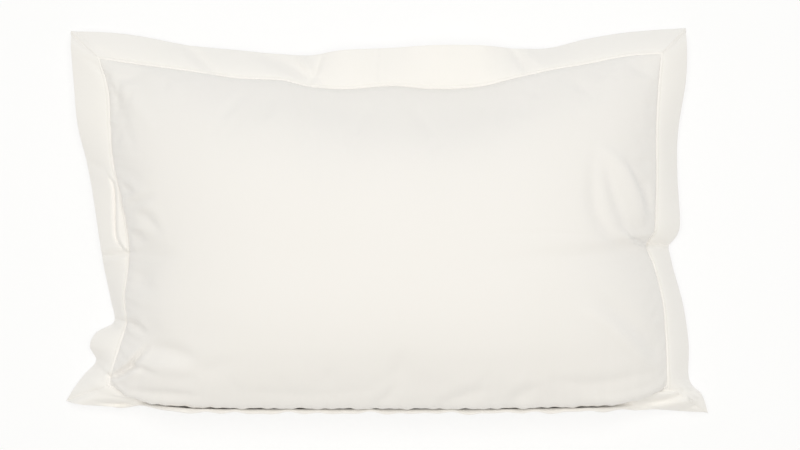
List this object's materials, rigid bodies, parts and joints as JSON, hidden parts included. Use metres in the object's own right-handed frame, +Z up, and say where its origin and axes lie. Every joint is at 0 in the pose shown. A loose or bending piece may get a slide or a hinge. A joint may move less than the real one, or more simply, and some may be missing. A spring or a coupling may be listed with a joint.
{
  "type": "filled oxford pillowcase",
  "caption": "Plain ivory cotton pillowcase with a flat Oxford border, filled by its pillow and lying on its back, with soft folds and a dent in its face.",
  "frame": {"origin": "on the surface that the case lies on, under the middle of its outline", "axes": "+X to the right of the face along the long side, +Y to the face's top edge, +Z up out of the face"},
  "size_m": [0.8117, 0.49, 0.176],
  "materials": {
    "case_cloth": "ivory cotton percale, pressed, with a faint satin sheen",
    "border_cloth": "the same ivory cotton percale, doubled"
  },
  "bodies": {
    "root": {"filled_case": "case_cloth", "border_top": "border_cloth", "border_right": "border_cloth", "border_left": "border_cloth", "border_bottom": "border_cloth"}
  },
  "joints": []
}
